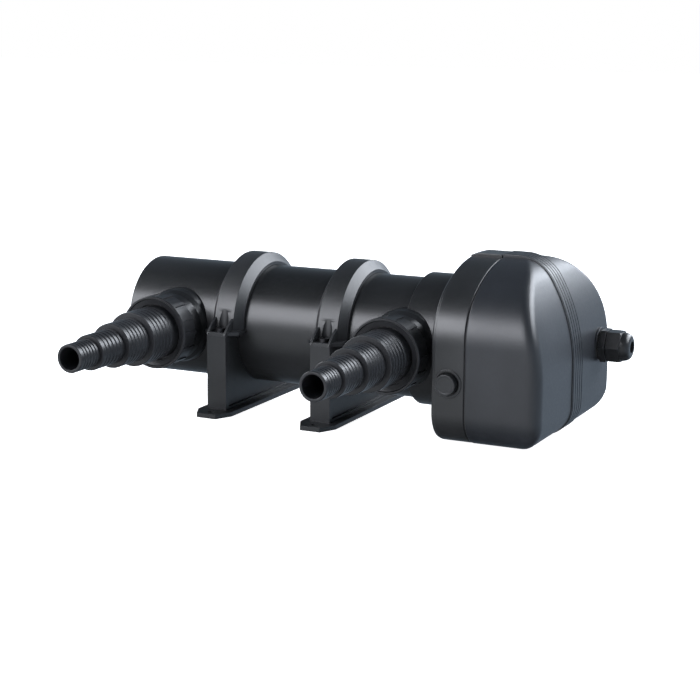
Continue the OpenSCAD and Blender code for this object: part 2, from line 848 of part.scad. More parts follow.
module ballast_choke() {
    x = board_x + board_t;
    color([0.2, 0.2, 0.22]) {
        block([x, -34, axis_h - 13], [x + 18, -8, axis_h + 13]);
        block([x + 3, -37, axis_h - 8], [x + 15, -5, axis_h + 8]);
    }
}

module ballast_capacitors() {
    x = board_x + board_t;
    color([0.1, 0.12, 0.3]) {
        for (z = [-15, 15]) rod_x(x, x + 22, 6.5, 6, axis_h + z);
        for (z = [-20, 20]) block([x, -28, axis_h + z - 3], [x + 11, -12, axis_h + z + 3]);
    }
}

module ballast_chips() {
    x = board_x + board_t;
    color([0.08, 0.08, 0.08]) for (z = [-12, 0, 12])
        block([x, 18, axis_h + z - 5], [x + 4.5, 27, axis_h + z + 5]);
}

module terminal_block() {
    x = board_x + board_t;
    color([0.15, 0.45, 0.2]) difference() {
        block([x, 33, axis_h - 20], [x + 13, 45, axis_h + 20]);
        for (z = [-15:10:15]) {
            rod_x(x + 6, x + 14, 2.6, 38, axis_h + z, 24);
            translate([x + 4, 40, axis_h + z]) rotate([-90, 0, 0])
                cylinder(r = 1.8, h = 6, $fn = 24);
        }
    }
}

module reed_switch() {
    color([0.3, 0.6, 0.4]) {
        rod_x(head_x + 4.5, head_x + 20, 1.5, 0, axis_h + pocket_wall_r + 1.55, 24);
    }
}

water_housing();
end_cap();
rear_saddle();
front_saddle();
rear_strap();
front_strap();
strap_screws();
sleeve_support();
interlock_magnet();
inlet_tail();
inlet_gasket();
inlet_nut();
outlet_tail();
outlet_gasket();
outlet_nut();
bayonet_ring();
head_base();
head_cover();
cover_seal();
cover_screws();
lock_button();
button_spring();
gland_body();
gland_nut();
gland_seal();
gland_washer();
gland_locknut();
spigot_orings();
quartz_sleeve();
sleeve_oring();
sleeve_clamp();
uv_lamp();
lamp_base();
lamp_pins();
lamp_holder();
lamp_leads();
chassis_plate();
chassis_screws();
ballast_board();
ballast_choke();
ballast_capacitors();
ballast_chips();
terminal_block();
reed_switch();
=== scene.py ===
"""UV clarifier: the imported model's looks.

Lengths are millimetres, except those of materials, lights and camera, which are metres.
"""

import math

import bmesh
import bpy
import numpy as np
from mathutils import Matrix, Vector


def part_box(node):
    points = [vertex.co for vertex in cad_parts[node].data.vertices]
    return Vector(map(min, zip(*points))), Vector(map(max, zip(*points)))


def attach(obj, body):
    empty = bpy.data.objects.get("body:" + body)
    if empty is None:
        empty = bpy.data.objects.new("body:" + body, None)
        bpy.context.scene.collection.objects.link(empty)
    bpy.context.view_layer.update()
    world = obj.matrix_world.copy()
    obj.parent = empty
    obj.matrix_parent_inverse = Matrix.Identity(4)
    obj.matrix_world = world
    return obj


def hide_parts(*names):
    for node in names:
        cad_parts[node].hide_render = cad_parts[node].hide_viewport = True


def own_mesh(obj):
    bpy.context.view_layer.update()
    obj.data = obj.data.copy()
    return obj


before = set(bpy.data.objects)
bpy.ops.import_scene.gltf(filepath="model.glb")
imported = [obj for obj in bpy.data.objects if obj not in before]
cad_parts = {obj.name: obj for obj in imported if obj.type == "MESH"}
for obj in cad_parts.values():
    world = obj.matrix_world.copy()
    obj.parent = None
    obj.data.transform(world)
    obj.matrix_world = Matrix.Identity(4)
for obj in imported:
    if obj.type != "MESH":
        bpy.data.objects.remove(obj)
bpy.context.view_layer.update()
MM = 0.001


def box_mm(node):
    """A node's lowest and highest corners in millimetres."""
    low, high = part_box(node)
    return np.array(low) / MM, np.array(high) / MM


# ---- Places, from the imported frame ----
CAP_LOW, CAP_HIGH = box_mm("end_cap")
BASE_LOW, BASE_HIGH = box_mm("head_base")
COVER_LOW, COVER_HIGH = box_mm("head_cover")
BUTTON_LOW, BUTTON_HIGH = box_mm("lock_button")
GLAND_LOW, GLAND_HIGH = box_mm("gland_washer")

AXIS_Z = (CAP_LOW[2] + CAP_HIGH[2]) / 2
BAND_H, BAND_FACE_H = 1.6, 0.8
SEAM_X = COVER_LOW[0]
END_X = COVER_HIGH[0] - BAND_FACE_H
HEAD_TOP = COVER_HIGH[2] - BAND_H
HEAD_HALF = COVER_HIGH[1]
BASE_TOP = BASE_HIGH[2] - BAND_H
BASE_HALF = BASE_HIGH[1]
BASE_FRONT = box_mm("cover_seal")[0][0]
BUTTON_X = (BUTTON_LOW[0] + BUTTON_HIGH[0]) / 2
BUTTON_Z = (BUTTON_LOW[2] + BUTTON_HIGH[2]) / 2
GLAND_Y = (GLAND_LOW[1] + GLAND_HIGH[1]) / 2
GLAND_Z = (GLAND_LOW[2] + GLAND_HIGH[2]) / 2

# ---- Shape of the head ----
BASE_DEPTH = 25.8
HEAD_X = SEAM_X - BASE_DEPTH
SHELL = 3.0
SPRING_Z, SHOULDER_R, FOOT_R = 72.0, 44.0, 24.0
CROWN_R, CROWN_BACK, BROW_Z, TOE_R = 28.0, 41.8, 49.0, 22.0
EDGE_R = 8.5
SCREW_SPOTS, SCREW_HOLE_R = [(60, 16), (-60, 16), (50, 98), (-50, 98)], 4.0

# ---- Band over the head ----
BAND_HALF, BAND_ROOT, BAND_SHIFT = 10.4, -3.4, 1.6
GROOVES = [-9.0, -4.5, 0.0, 4.5, 9.0]

# ---- Lock button ----
BUTTON_STEP, BUTTON_TRAVEL = HEAD_HALF - 6.5, 3.5
BUTTON_R, BUTTON_FLANGE_R, BUTTON_STEM_R, BUTTON_STEM = 7.5, 9.0, 3.0, 13.0
BEZEL_R, BEZEL_MOUTH_R, BEZEL_BORE_R = 10.3, 8.4, 7.7
BUTTON_HOLE_R, BUTTON_HOLE_DEPTH = 9.4, 9.0

# ---- Gland pad ----
PAD_R, PAD_HOLE_R, PAD_DEPTH = 13.0, 8.2, 5.5

# ---- Collar pocket and water spigot behind the head base ----
POCKET_R, POCKET_X = 49.6, 149.3
BULKHEAD_X = 152.0
KEY_ANGLES = [30, 150, 270]
KEY_FROM, KEY_LOW_R, KEY_HIGH_R, KEY_HALF = 131.0, 39.9, 42.3, 3.3
CLAMP_SEAT_X, CLAMP_SEAT_R = 143.0, 27.4
SLEEVE_STOP_X, SLEEVE_HOLE_R = 138.0, 24.3
SPIGOT_TIP, SPIGOT_R, SPIGOT_BORE_R = 118.5, 39.5, 33.5
BAYONET_X, BAYONET_BED_R = 131.3, 41.3
ORING_SPOTS, ORING_HALF, ORING_FLOOR_R = (122.0, 127.5), 1.7, 36.7

# ---------------------------------------------------------------- helpers


def add_object(name, mesh):
    """A mesh as an object in the scene."""
    obj = bpy.data.objects.new(name, mesh)
    bpy.context.scene.collection.objects.link(obj)
    return obj


def mesh_object(name, verts, faces):
    """A mesh object from vertices in millimetres, with its faces turned outwards."""
    mesh = bpy.data.meshes.new(name)
    mesh.from_pydata([tuple(float(c) * MM for c in v) for v in verts], [], faces)
    work = bmesh.new()
    work.from_mesh(mesh)
    bmesh.ops.recalc_face_normals(work, faces=work.faces)
    work.to_mesh(mesh)
    work.free()
    mesh.update()
    return add_object(name, mesh)


def apply_modifiers(obj):
    """Replaces the object's mesh by what its modifiers make of it."""
    shown = obj.evaluated_get(bpy.context.evaluated_depsgraph_get())
    mesh = bpy.data.meshes.new_from_object(shown)
    old = obj.data
    obj.modifiers.clear()
    obj.data = mesh
    bpy.data.meshes.remove(old)


def shade(obj, angle=40):
    """Smooth shading that keeps edges sharper than the angle, weighted by face area."""
    obj.data.shade_smooth()
    obj.data.set_sharp_from_angle(angle=math.radians(angle))
    weighted = obj.modifiers.new("weighted", "WEIGHTED_NORMAL")
    weighted.keep_sharp = True
    weighted.weight = 80
    apply_modifiers(obj)


def carve(obj, cutters):
    """Subtracts the cutter objects, which are then removed."""
    for cutter in cutters:
        cut = obj.modifiers.new("cut", "BOOLEAN")
        cut.operation = "DIFFERENCE"
        cut.solver = "EXACT"
        cut.object = cutter
        apply_modifiers(obj)
        bpy.data.objects.remove(cutter)


def finish_piece(obj, body, material, replaced=()):
    """Gives a piece its material and body, and hides the CAD nodes that it replaces."""
    obj.data.materials.clear()
    obj.data.materials.append(material)
    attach(obj, body)
    if replaced:
        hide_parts(*replaced)


STRAIGHT = math.radians(86)
LONGEST_CUT = 0.45


def softened_profile(points, radius, steps=3):
    """Closed profile with every corner rounded; a point may carry its own radius."""
    out = []
    n = len(points)
    flat = [np.array(p[:2], float) for p in points]
    for i, p in enumerate(points):
        r = p[2] if len(p) > 2 else radius
        here, back, ahead = flat[i], flat[i - 1], flat[(i + 1) % n]
        a, b = back - here, ahead - here
        la, lb = np.linalg.norm(a), np.linalg.norm(b)
        a, b = a / la, b / lb
        cos = float(np.clip(a @ b, -1, 1))
        half = math.acos(cos) / 2
        if r <= 0 or half > STRAIGHT:
            out.append(here)
            continue
        cut = min(r / math.tan(half), LONGEST_CUT * la, LONGEST_CUT * lb)
        start, end = here + a * cut, here + b * cut
        for k in range(steps + 1):
            t = k / steps
            out.append((1 - t) ** 2 * start + 2 * t * (1 - t) * here + t * t * end)
    return out


# Where a point at radius r and distance d lies, for the cosine and sine of its angle and origin o.
AXES = {
    "chamber": lambda r, d, c, s, o: (d, r * c + o[1], r * s + o[2]),
    "port": lambda r, d, c, s, o: (r * c + o[0], -d, r * s + o[2]),
}


def lathe(name, profile, axis, origin, sides=128):
    """Solid of revolution from a closed profile of (radius, distance along the axis)."""
    place = AXES[axis]
    verts, rings = [], []
    for r, d in profile:
        if r < 1e-6:
            rings.append([len(verts)] * sides)
            verts.append(place(0, d, 1, 0, origin))
            continue
        rings.append(list(range(len(verts), len(verts) + sides)))
        for k in range(sides):
            t = 2 * math.pi * k / sides
            verts.append(place(r, d, math.cos(t), math.sin(t), origin))
    faces = []
    for i, ring in enumerate(rings):
        other = rings[(i + 1) % len(rings)]
        for k in range(sides):
            m = (k + 1) % sides
            corners = [ring[k], ring[m], other[m], other[k]]
            unique = list(dict.fromkeys(corners))
            if len(unique) > 2:
                faces.append(unique)
    return mesh_object(name, verts, faces)


def strip_faces(rows, n):
    """Quads between neighbouring rings of n points."""
    return [(i * n + k, i * n + (k + 1) % n, (i + 1) * n + (k + 1) % n, (i + 1) * n + k)
            for i in range(rows - 1) for k in range(n)]


def loop_grid(name, loops, centres=(None, None)):
    """Skin over rings of equal length, closed by a centre at each end or back to the first."""
    n = len(loops[0])
    verts = [p for loop in loops for p in loop]
    faces = strip_faces(len(loops), n)
    for centre, row in zip(centres, (0, len(loops) - 1)):
        if centre is not None:
            verts.append(centre)
            faces += [(row * n + k, row * n + (k + 1) % n, len(verts) - 1) for k in range(n)]
    if centres == (None, None):
        last = (len(loops) - 1) * n
        faces += [(last + k, last + (k + 1) % n, (k + 1) % n, k) for k in range(n)]
    return mesh_object(name, verts, faces)


MERGE_METRES = 3e-6
FLAT_ANGLE, BEVEL_ANGLE = math.radians(0.8), math.radians(32)


def softened_node(node, name, width):
    """A new mesh with the CAD node's shape, its flats merged and its edges rounded."""
    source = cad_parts[node].data
    verts = [tuple(v.co) for v in source.vertices]
    faces = [tuple(p.vertices) for p in source.polygons]
    mesh = bpy.data.meshes.new(name)
    mesh.from_pydata(verts, [], faces)
    work = bmesh.new()
    work.from_mesh(mesh)
    bmesh.ops.remove_doubles(work, verts=work.verts, dist=MERGE_METRES)
    bmesh.ops.dissolve_limit(work, angle_limit=FLAT_ANGLE, verts=work.verts, edges=work.edges)
    bmesh.ops.recalc_face_normals(work, faces=work.faces)
    work.to_mesh(mesh)
    work.free()
    obj = add_object(name, mesh)
    bevel = obj.modifiers.new("edges", "BEVEL")
    bevel.width = width * MM
    bevel.segments = 2
    bevel.limit_method = "ANGLE"
    bevel.angle_limit = BEVEL_ANGLE
    bevel.use_clamp_overlap = True
    apply_modifiers(obj)
    shade(obj, 50)
    return obj


# ---------------------------------------------------------------- materials


class Nodes:
    """Short calls for building one material's node tree."""

    def __init__(self, name):
        self.material = bpy.data.materials.new(name)
        self.material.use_nodes = True
        self.tree = self.material.node_tree
        self.tree.nodes.clear()
        self.out = self.tree.nodes.new("ShaderNodeOutputMaterial")
        self.shader = self.tree.nodes.new("ShaderNodeBsdfPrincipled")
        self.tree.links.new(self.shader.outputs[0], self.out.inputs[0])
        self.coords = self.tree.nodes.new("ShaderNodeTexCoord").outputs["Object"]

    def link(self, a, b):
        self.tree.links.new(a, b)

    def noise(self, scale, detail=3.0, rough=0.5, stretch=(1, 1, 1)):
        mapping = self.tree.nodes.new("ShaderNodeMapping")
        mapping.inputs["Scale"].default_value = stretch
        self.link(self.coords, mapping.inputs[0])
        node = self.tree.nodes.new("ShaderNodeTexNoise")
        node.inputs["Scale"].default_value = scale
        node.inputs["Detail"].default_value = detail
        node.inputs["Roughness"].default_value = rough
        self.link(mapping.outputs[0], node.inputs["Vector"])
        return node.outputs["Fac"]

    def ramp(self, value, low, high, a, b):
        """Maps a value from low..high to a..b, clamped."""
        node = self.tree.nodes.new("ShaderNodeMapRange")
        for socket, number in zip(node.inputs[1:5], (low, high, a, b)):
            socket.default_value = number
        self.link(value, node.inputs[0])
        return node.outputs[0]

    def math(self, op, a, b):
        node = self.tree.nodes.new("ShaderNodeMath")
        node.operation = op
        for socket, value in zip(node.inputs, (a, b)):
            if isinstance(value, (int, float)):
                socket.default_value = value
            else:
                self.link(value, socket)
        return node.outputs[0]

    def mix(self, factor, a, b):
        node = self.tree.nodes.new("ShaderNodeMix")
        node.data_type = "RGBA"
        self.link(factor, node.inputs[0])
        for socket, value in ((node.inputs[6], a), (node.inputs[7], b)):
            if isinstance(value, tuple):
                socket.default_value = (*value, 1)
            else:
                self.link(value, socket)
        return node.outputs[2]

    def bump(self, height, strength, distance, normal=None):
        node = self.tree.nodes.new("ShaderNodeBump")
        node.inputs["Strength"].default_value = strength
        node.inputs["Distance"].default_value = distance
        self.link(height, node.inputs["Height"])
        if normal is not None:
            self.link(normal, node.inputs["Normal"])
        return node.outputs[0]

    def use(self, socket, value):
        if isinstance(value, (int, float)):
            self.shader.inputs[socket].default_value = value
        elif isinstance(value, tuple):
            self.shader.inputs[socket].default_value = (*value, 1)
        else:
            self.link(value, self.shader.inputs[socket])


def moulded(name, colour, rough, grain, grain_scale, ior=1.46, scuffs=0.5, streak=(1, 1, 1)):
    """Injection-moulded plastic: spark-eroded grain, faint flow tone and light handling marks."""
    n = Nodes(name)
    tone = n.noise(14, 4, 0.55, streak)
    fine = n.noise(grain_scale, 2, 0.5)
    mottle = n.noise(420, 3, 0.6)
    marks = n.noise(90, 6, 0.75, (1.0, 6.0, 1.7))
    scuff = n.ramp(marks, 0.63, 0.78, 0.0, 1.0)
    light = tuple(min(1, c * 1.55 + 0.0012) for c in colour)
    dark = tuple(c * 0.72 for c in colour)
    worn = tuple(min(1, c * 1.9 + 0.004) for c in colour)
    shade_of = n.mix(n.ramp(tone, 0.32, 0.68, 0, 1), dark, light)
    speck = n.mix(n.ramp(mottle, 0.45, 0.7, 0, 0.5), shade_of, tuple(c * 1.25 for c in colour))
    n.use("Base Color", n.mix(n.math("MULTIPLY", scuff, 0.5 * scuffs), speck, worn))
    base = n.ramp(tone, 0.3, 0.7, rough - 0.035, rough + 0.035)
    base = n.math("ADD", base, n.ramp(mottle, 0.3, 0.7, -0.025, 0.025))
    n.use("Roughness", n.math("ADD", base, n.math("MULTIPLY", scuff, 0.10 * scuffs)))
    n.use("IOR", ior)
    n.use("Normal", n.bump(mottle, 0.10 * grain, 0.0004, n.bump(fine, grain, 0.00006)))
    return n.material


def rubber(name, colour):
    """Dull soft rubber with a little dust."""
    n = Nodes(name)
    dust = n.noise(700, 5, 0.7)
    dusty = tuple(c * 2.2 + 0.006 for c in colour)
    n.use("Base Color", n.mix(n.ramp(dust, 0.45, 0.75, 0, 1), colour, dusty))
    n.use("Roughness", n.ramp(dust, 0.3, 0.7, 0.62, 0.82))
    n.use("IOR", 1.5)
    n.use("Normal", n.bump(n.noise(1500, 3), 0.35, 0.0001))
    return n.material


def metal(name, colour, rough, stretch):
    """Drawn or rolled metal with fine lines along one direction."""
    n = Nodes(name)
    lines = n.noise(900, 4, 0.6, stretch)
    cloud = n.noise(120, 3)
    dull = tuple(c * 0.82 for c in colour)
    n.use("Base Color", n.mix(n.ramp(cloud, 0.3, 0.7, 0, 1), colour, dull))
    n.use("Metallic", 1.0)
    n.use("Roughness", n.ramp(lines, 0.3, 0.7, rough - 0.07, rough + 0.09))
    n.use("Normal", n.bump(lines, 0.18, 0.00008))
    return n.material


def glass(name, colour, rough, ior, haze):
    """Clear drawn glass with faint draw lines along the tube and a little haze."""
    n = Nodes(name)
    lines = n.noise(160, 3, 0.5, (0.05, 1, 1))
    n.use("Base Color", colour)
    n.use("Transmission Weight", 1.0)
    n.use("IOR", ior)
    n.use("Roughness", n.ramp(n.noise(60, 4, 0.6), 0.35, 0.7, rough, rough + haze))
    n.use("Normal", n.bump(lines, 0.06, 0.0002))
    return n.material


def laminate(name, colour):
    """Circuit board: solder resist over raised tracks."""
    n = Nodes(name)
    cells = n.tree.nodes.new("ShaderNodeTexVoronoi")
    cells.feature = "DISTANCE_TO_EDGE"
    cells.inputs["Scale"].default_value = 170
    n.link(n.coords, cells.inputs["Vector"])
    track = n.ramp(cells.outputs[0], 0.03, 0.07, 1, 0)
    n.use("Base Color", n.mix(track, colour, tuple(min(1, c * 1.7) for c in colour)))
    n.use("Roughness", n.ramp(n.noise(300, 3), 0.3, 0.7, 0.28, 0.4))
    n.use("Normal", n.bump(track, 0.5, 0.00008))
    return n.material


BODY_BLACK = (0.0085, 0.0092, 0.0100)
SADDLE_BLACK = (0.0088, 0.0096, 0.0106)
TUBE_FLOW, HEAD_FLOW = (0.25, 1, 1), (1, 1, 0.35)
MATERIALS = {
    "chamber_plastic": moulded("chamber_plastic", BODY_BLACK, 0.34, 0.22, 2600, streak=TUBE_FLOW),
    "saddle_plastic": moulded("saddle_plastic", SADDLE_BLACK, 0.44, 0.35, 2300, 1.4),
    "tail_plastic": moulded("tail_plastic", (0.0080, 0.0085, 0.0098), 0.34, 0.14, 3000),
    "nut_plastic": moulded("nut_plastic", (0.0085, 0.0090, 0.0102), 0.36, 0.25, 2500),
    "head_plastic": moulded("head_plastic", (0.0068, 0.0080, 0.0102), 0.40, 0.28, 2400, 1.5,
                            streak=HEAD_FLOW),
    "trim_plastic": moulded("trim_plastic", (0.0100, 0.0108, 0.0118), 0.42, 0.3, 2600),
    "gland_plastic": moulded("gland_plastic", (0.0050, 0.0054, 0.0060), 0.30, 0.15, 2800),
    "seal_rubber": rubber("seal_rubber", (0.006, 0.006, 0.006)),
    "screw_steel": metal("screw_steel", (0.045, 0.045, 0.048), 0.42, (1, 8, 8)),
    "plate_steel": metal("plate_steel", (0.62, 0.63, 0.64), 0.34, (8, 1, 8)),
    "quartz": glass("quartz", (0.88, 0.94, 0.98), 0.02, 1.458, 0.06),
    "lamp_glass": glass("lamp_glass", (0.86, 0.91, 0.95), 0.14, 1.49, 0.1),
    "lamp_ceramic": moulded("lamp_ceramic", (0.74, 0.73, 0.69), 0.45, 0.25, 2000, 1.5, 0.3),
    "contact_brass": metal("contact_brass", (0.76, 0.56, 0.25), 0.25, (8, 1, 1)),
    "wire_sheath": rubber("wire_sheath", (0.6, 0.58, 0.52)),
    "board_laminate": laminate("board_laminate", (0.02, 0.13, 0.05)),
    "ferrite": moulded("ferrite", (0.022, 0.022, 0.025), 0.6, 0.6, 1500),
    "capacitor_sleeve": moulded("capacitor_sleeve", (0.012, 0.016, 0.07), 0.28, 0.12, 2000),
    "chip_epoxy": moulded("chip_epoxy", (0.012, 0.012, 0.013), 0.55, 0.5, 2500),
    "terminal_plastic": moulded("terminal_plastic", (0.03, 0.2, 0.06), 0.35, 0.2, 2500),
}
STRAP_PLASTIC = moulded("strap_plastic", SADDLE_BLACK, 0.42, 0.35, 2300, 1.5)
BASE_PLASTIC = moulded("base_plastic", BODY_BLACK, 0.34, 0.22, 2600, 1.5, streak=HEAD_FLOW)
NODE_SLOTS = {
    "chamber_plastic": ["water_housing", "end_cap"],
    "trim_plastic": ["sleeve_support", "bayonet_ring", "sleeve_clamp"],
    "gland_plastic": ["gland_locknut"],
    "seal_rubber": ["inlet_gasket", "outlet_gasket", "cover_seal", "gland_seal", "gland_washer",
                    "spigot_orings", "sleeve_oring"],
    "screw_steel": ["strap_screws", "cover_screws", "button_spring", "interlock_magnet",
                    "chassis_screws"],
    "plate_steel": ["chassis_plate"],
    "quartz": ["quartz_sleeve"],
    "lamp_glass": ["uv_lamp"],
    "lamp_ceramic": ["lamp_base", "lamp_holder"],
    "contact_brass": ["lamp_pins"],
    "wire_sheath": ["lamp_leads"],
    "board_laminate": ["ballast_board"],
    "ferrite": ["ballast_choke"],
    "capacitor_sleeve": ["ballast_capacitors"],
    "chip_epoxy": ["ballast_chips"],
    "terminal_plastic": ["terminal_block", "reed_switch"],
}


def dress_cad_nodes():
    """Puts the slots' materials on the CAD nodes that stay visible."""
    for slot, nodes in NODE_SLOTS.items():
        for node in nodes:
            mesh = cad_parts[node].data
            mesh.materials.clear()
            mesh.materials.append(MATERIALS[slot])


# ---------------------------------------------------------------- head


ANGLES = np.linspace(0, 2 * math.pi, 288, endpoint=False)


def outline_distance(y, z, half, top):
    """Signed distance to the head's outline: flat foot, upright sides, shoulders and arch."""
    y = np.abs(y)
    side, corner = half - SHOULDER_R, half - FOOT_R
    rise = top - SPRING_Z
    arch_r = (rise**2 + side**2 - SHOULDER_R**2) / (2 * (rise - SHOULDER_R))
    hub = top - arch_r
    in_arch = (z > hub) & (y * (SPRING_Z - hub) <= side * (z - hub))
    upper = np.where(
        in_arch,
        np.hypot(y, z - hub) - arch_r,
        np.hypot(y - side, z - SPRING_Z) - SHOULDER_R,
    )
    lower = np.where(y > corner, np.hypot(y - corner, z - FOOT_R) - FOOT_R, -z)
    return np.where(z >= SPRING_Z, upper, np.where(z >= FOOT_R, y - half, lower))


BROW_RISE = HEAD_TOP - BROW_Z
BROW_R = (CROWN_BACK**2 + BROW_RISE**2 - 2 * BROW_RISE * CROWN_R) / (2 * (CROWN_BACK - CROWN_R))
BROW_X = END_X - BROW_R
CROWN_X, CROWN_Z = END_X - CROWN_BACK, HEAD_TOP - CROWN_R


def side_distance(x, z):
    """Signed distance to the cover's side view: top, crown, brow, upright end and toe."""
    in_brow = (z - BROW_Z) * (CROWN_X - BROW_X) <= (x - BROW_X) * (CROWN_Z - BROW_Z)
    crown = np.where(x >= CROWN_X, np.hypot(x - CROWN_X, z - CROWN_Z) - CROWN_R, z - HEAD_TOP)
    upper = np.where(in_brow, np.hypot(x - BROW_X, z - BROW_Z) - BROW_R, crown)
    toe_x = END_X - TOE_R
    lower = np.where(x > toe_x, np.hypot(x - toe_x, z - TOE_R) - TOE_R, -z)
    return np.where(z >= BROW_Z, upper, np.where(z >= TOE_R, x - END_X, lower))


def slope(function, a, b):
    """Unit gradient of a two-argument distance."""
    step = 0.01
    da = function(a + step, b) - function(a - step, b)
    db = function(a, b + step) - function(a, b - step)
    size = np.maximum(np.hypot(da, db), 1e-9)
    return da / size, db / size


def cover_distance(p, inset):
    """Distance to the cover: outline and side view meet in a rolling-ball fillet."""
    x, y, z = p.T
    radius = EDGE_R - inset
    outline = lambda a, b: outline_distance(a, b, HEAD_HALF, HEAD_TOP)
    f1, f2 = outline(y, z) + inset, side_distance(x, z) + inset
    n1, n2 = slope(outline, y, z), slope(side_distance, x, z)
    c = np.clip(n1[1] * n2[1], -0.2, 0.9995)
    a, b = f1 + radius, f2 + radius
    inside = (a > b * c) & (b > a * c) & (a > 0) & (b > 0)
    ball = np.sqrt(np.maximum(a * a + b * b - 2 * a * b * c, 0) / (1 - c * c)) - radius
    return np.where(inside, ball, np.maximum(f1, f2))


SETTLE_ROUNDS, PROBE = 8, 0.02


def settle(points, inset):
    """Moves points onto the cover's filleted surface along its gradient."""
    p = points.copy()
    for _ in range(SETTLE_ROUNDS):
        f = cover_distance(p, inset)
        grad = np.stack(
            [(cover_distance(p + d, inset) - cover_distance(p - d, inset)) / (2 * PROBE)
             for d in np.eye(3) * PROBE], 1)
        size = np.maximum((grad**2).sum(1, keepdims=True), 0.2)
        p = p - 0.9 * f[:, None] * grad / size
    return p


def bisect(outside, low, high):
    """The highest values that aren't outside yet, found by halving the gap."""
    for _ in range(40):
        middle = (low + high) / 2
        beyond = outside(middle)
        high, low = np.where(beyond, middle, high), np.where(beyond, low, middle)
    return low


def outline_radius(inset, half, top):
    """Distance from the chamber axis to the outline, moved inwards, at each angle."""
    def outside(radius):
        y, z = radius * np.sin(ANGLES), AXIS_Z + radius * np.cos(ANGLES)
        return outline_distance(y, z, half, top) + inset > 0

    return bisect(outside, np.full(ANGLES.shape, 20.0), np.full(ANGLES.shape, 160.0))


def ring(x, radius):
    """Points round the chamber axis at one x, with a radius for each angle."""
    across, up = radius * np.sin(ANGLES), AXIS_Z + radius * np.cos(ANGLES)
    return np.stack([np.broadcast_to(x, ANGLES.shape), across, up], 1)


def end_reach(z, inset):
    """Highest x of the cover's side view at each height."""
    return bisect(lambda x: side_distance(x, z) + inset > 0,
                  np.full(z.shape, SEAM_X), np.full(z.shape, END_X + 1.0))


def cover_rows(inset, wall_rows, end_rows):
    """Rings of the cover's surface from the seam over the edge to the middle of the end."""
    radius = outline_radius(inset, HEAD_HALF, HEAD_TOP)
    rim = ring(SEAM_X, radius)
    z = np.clip(rim[:, 2], inset + 0.002, HEAD_TOP - inset - 0.002)
    edge = end_reach(z, inset)
    start = SEAM_X + 1.0
    rows = []
    for t in np.linspace(0, 1, wall_rows) ** 0.72:
        rows.append(ring(start + t * (edge - start), radius))
    fine = np.linspace(0, 1, 500)
    paths = []
    for k in range(len(ANGLES)):
        y = rim[k, 1] * (1 - fine)
        height = z[k] + (AXIS_Z - z[k]) * fine
        paths.append(np.stack([end_reach(height, inset), y, height], 1))
    spread = np.linspace(0, 1, end_rows + 1)[1:-1] ** 1.7
    resampled = []
    for path in paths:
        length = np.concatenate([[0], np.cumsum(np.linalg.norm(np.diff(path, axis=0), axis=1))])
        at = spread * length[-1]
        resampled.append(np.stack([np.interp(at, length, path[:, i]) for i in range(3)], 1))
    resampled = np.array(resampled)
    rows += [resampled[:, j] for j in range(resampled.shape[1])]
    rows = [settle(row, inset) for row in rows]
    centre = (float(end_reach(np.array([AXIS_Z]), inset)[0]), 0.0, AXIS_Z)
    return rows, centre


def make_cover():
    """Cover shell: inner skin, a slightly rounded rim at the seam, and outer skin."""
    outer, outer_centre = cover_rows(0.0, 16, 40)
    inner, inner_centre = cover_rows(SHELL, 6, 16)
    rim = [(0, SHELL), (0, 1.1), (0.1, 0.6), (0.38, 0.22)]
    lip = [ring(SEAM_X + x, outline_radius(inset, HEAD_HALF, HEAD_TOP)) for x, inset in rim]
    cover = loop_grid("cover_shell", inner[::-1] + lip + outer, (inner_centre, outer_centre))
    shade(cover, 35)
    finish_piece(cover, "head", MATERIALS["head_plastic"], ["head_cover"])


def band_section(grooves):
    """Outline of the band as (y, height above its face), from foot to foot."""
    edge = [(BAND_HALF, BAND_ROOT), (BAND_HALF, -0.5), (BAND_HALF - 0.14, -0.15),
            (BAND_HALF - 0.5, 0)]
    groove = [(0.75, 0), (0.55, -0.14), (0.48, -1.25)]
    points = [(-y, h) for y, h in edge]
    for middle in grooves:
        points += [(middle - y, h) for y, h in groove]
        points += [(middle + y, h) for y, h in groove[::-1]]
    return points + edge[::-1]


def sweep(name, stations, section):
    """Skin of a section (y, height) along stations of (x, z, normal x, normal z), with ends."""
    verts, n = [], len(section)
    for x, z, nx, nz in stations:
        for y, h in section:
            verts.append((x + nx * h, y, max(z + nz * h, 0.0)))
    faces = strip_faces(len(stations), n)
    faces += [tuple(range(n)), tuple(range((len(stations) - 1) * n, len(stations) * n))]
    return mesh_object(name, verts, faces)


def arc_stations(hub, radius, angles, heights):
    """Stations along an arc of the side view, raised by a height at each angle."""
    return [(hub[0] + (radius + h) * math.cos(a), hub[1] + (radius + h) * math.sin(a),
             math.cos(a), math.sin(a)) for a, h in zip(angles, heights)]


def cover_stations():
    """Places along the band's face: high on top, sinking over the crown, low down the end."""
    turn = math.atan2(CROWN_Z - BROW_Z, CROWN_X - BROW_X)
    top = HEAD_TOP + BAND_H
    out = [(SEAM_X + 0.1, top - 0.5, 0.0, 1.0), (SEAM_X + 0.22, top - 0.15, 0.0, 1.0)]
    out += [(x, top, 0.0, 1.0) for x in np.linspace(SEAM_X + 0.6, CROWN_X, 6)[:-1]]
    crown = np.linspace(math.pi / 2, turn, 24)
    sunk = np.maximum(BAND_H - BAND_SHIFT * np.cos(crown), BAND_FACE_H)
    out += arc_stations((CROWN_X, CROWN_Z), CROWN_R, crown, sunk)
    face = np.full(28, BAND_FACE_H)
    out += arc_stations((BROW_X, BROW_Z), BROW_R, np.linspace(turn, 0, 28)[1:], face)
    out += [(END_X + BAND_FACE_H, z, 1.0, 0.0) for z in np.linspace(BROW_Z, TOE_R, 5)[1:-1]]
    toe = np.linspace(0, -math.pi / 2, 22)
    return out + arc_stations((END_X - TOE_R, TOE_R), TOE_R, toe, face)


